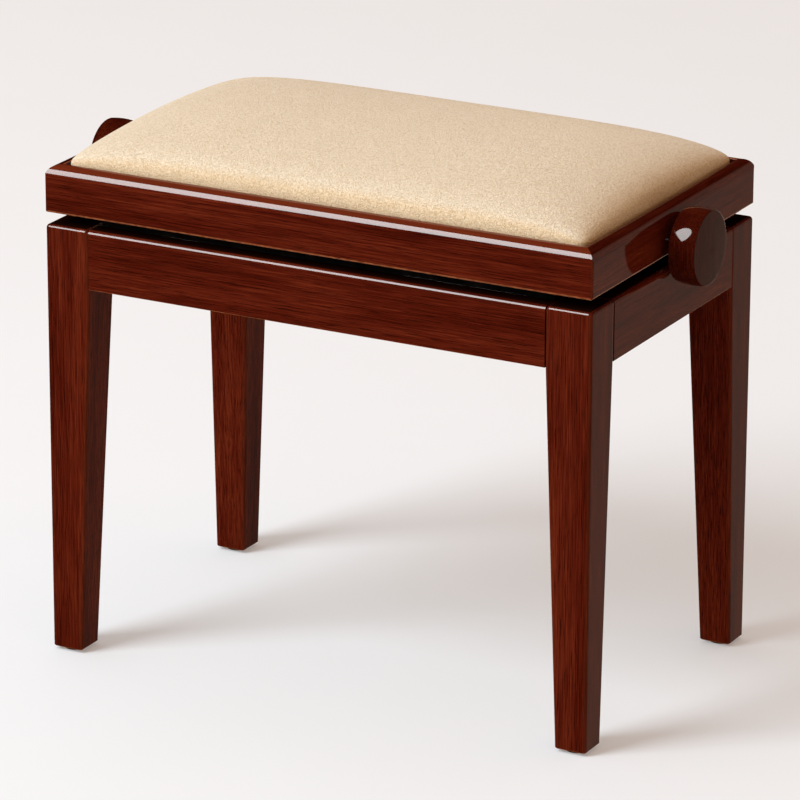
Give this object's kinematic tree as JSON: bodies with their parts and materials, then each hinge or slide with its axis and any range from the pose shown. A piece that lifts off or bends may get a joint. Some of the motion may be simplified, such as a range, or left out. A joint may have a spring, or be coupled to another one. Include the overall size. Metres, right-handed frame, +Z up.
{
  "type": "piano bench",
  "caption": "Adjustable piano bench: glossy wooden legs and aprons, a padded velour seat in a mitred frame, and side knobs that turn a spindle to raise the seat on a scissor lift.",
  "frame": {"origin": "on the floor, under the middle of the seat, with the seat at its lowest setting", "axes": "+Z up, +X along the length of the bench towards its right-hand knob, +Y to its back"},
  "size_m": [0.62, 0.332, 0.503],
  "materials": {
    "mahogany": "glossy red-brown lacquer over fine straight grain",
    "knob_wood": "turned dark brown hardwood, lacquered",
    "cover": "beige short-pile velour",
    "foam": "upholstery foam",
    "plywood": "bare plywood",
    "beech": "bare hardwood",
    "black_steel": "black stove-enamelled steel strip",
    "bright_steel": "drawn steel bar, lightly oiled",
    "fastener_steel": "plated fasteners",
    "brass": "machined brass",
    "nylon": "dark moulded nylon"
  },
  "bodies": {
    "base": {"apron_back": "mahogany", "apron_front": "mahogany", "apron_left": "mahogany", "apron_right": "mahogany", "corner_brace_back_left": "black_steel", "corner_brace_back_right": "black_steel", "corner_brace_front_left": "black_steel", "corner_brace_front_right": "black_steel", "corner_brace_screws": "fastener_steel", "foot_glides": "nylon", "leg_back_left": "mahogany", "leg_back_right": "mahogany", "leg_bolt_nuts": "fastener_steel", "leg_bolt_washers": "fastener_steel", "leg_bolts": "fastener_steel", "leg_front_left": "mahogany", "leg_front_right": "mahogany", "lower_channel_back": "black_steel", "lower_channel_front": "black_steel", "lower_channel_screws": "fastener_steel"},
    "seat": {"bearing_plate_left": "black_steel", "bearing_plate_right": "black_steel", "bearing_plate_screws": "fastener_steel", "corner_block_screws": "fastener_steel", "cover_staples": "fastener_steel", "seat_board": "plywood", "seat_board_screws": "fastener_steel", "seat_corner_blocks": "beech", "seat_cover": "cover", "seat_foam": "foam", "seat_rail_back": "mahogany", "seat_rail_front": "mahogany", "seat_rail_left": "mahogany", "seat_rail_right": "mahogany", "spindle_bush_left": "nylon", "spindle_bush_right": "nylon", "upper_channel_back": "black_steel", "upper_channel_front": "black_steel", "upper_channel_screws": "fastener_steel", "upper_pivot_clips": "bright_steel", "upper_pivot_pins": "bright_steel"},
    "spindle": {"collar_set_screws": "fastener_steel", "knob_inserts": "brass", "knob_left": "knob_wood", "knob_right": "knob_wood", "spindle": "bright_steel", "thrust_collars": "bright_steel"},
    "outer_arms": {"outer_arm_back": "black_steel", "outer_arm_front": "black_steel", "slide_rod": "bright_steel", "slide_rod_bushes": "nylon"},
    "inner_arms": {"inner_arm_back": "black_steel", "inner_arm_front": "black_steel", "pivot_rod": "bright_steel", "pivot_rod_clips": "bright_steel", "pivot_rod_spacers": "bright_steel", "scissor_mid_pins": "bright_steel"},
    "trunnion": {"spindle_nut": "brass", "trunnion_bar": "black_steel", "trunnion_bushes": "nylon"}
  },
  "joints": [
    {"name": "seat_lift", "type": "slide", "parent": "base", "child": "seat", "axis": [0, 0, 1], "range_m": [0, 0.095]},
    {"name": "spindle_turn", "type": "hinge", "parent": "seat", "child": "spindle", "pos_m": [0, 0, 0.43], "axis": [1, 0, 0], "range_deg": [0, 2621.22]},
    {"name": "outer_arm_pivot", "type": "hinge", "parent": "seat", "child": "outer_arms", "pos_m": [-0.18, 0, 0.43], "axis": [0, 1, 0], "range_deg": [0, 15.77]},
    {"name": "inner_arm_pivot", "type": "hinge", "parent": "base", "child": "inner_arms", "pos_m": [-0.18, 0, 0.372], "axis": [0, -1, 0], "range_deg": [0, 15.77]},
    {"name": "trunnion_pivot", "type": "hinge", "parent": "inner_arms", "child": "trunnion", "pos_m": [0.1753, 0, 0.43], "axis": [0, 1, 0], "range_deg": [0, 15.77]}
  ],
  "couplings": [
    {"joint": "spindle_turn", "follows": "seat_lift", "rad_per_m": 481.33},
    {"joint": "outer_arm_pivot", "follows": "seat_lift", "rad_per_m": 2.8954},
    {"joint": "inner_arm_pivot", "follows": "seat_lift", "rad_per_m": 2.8954},
    {"joint": "trunnion_pivot", "follows": "seat_lift", "rad_per_m": 2.8954}
  ]
}
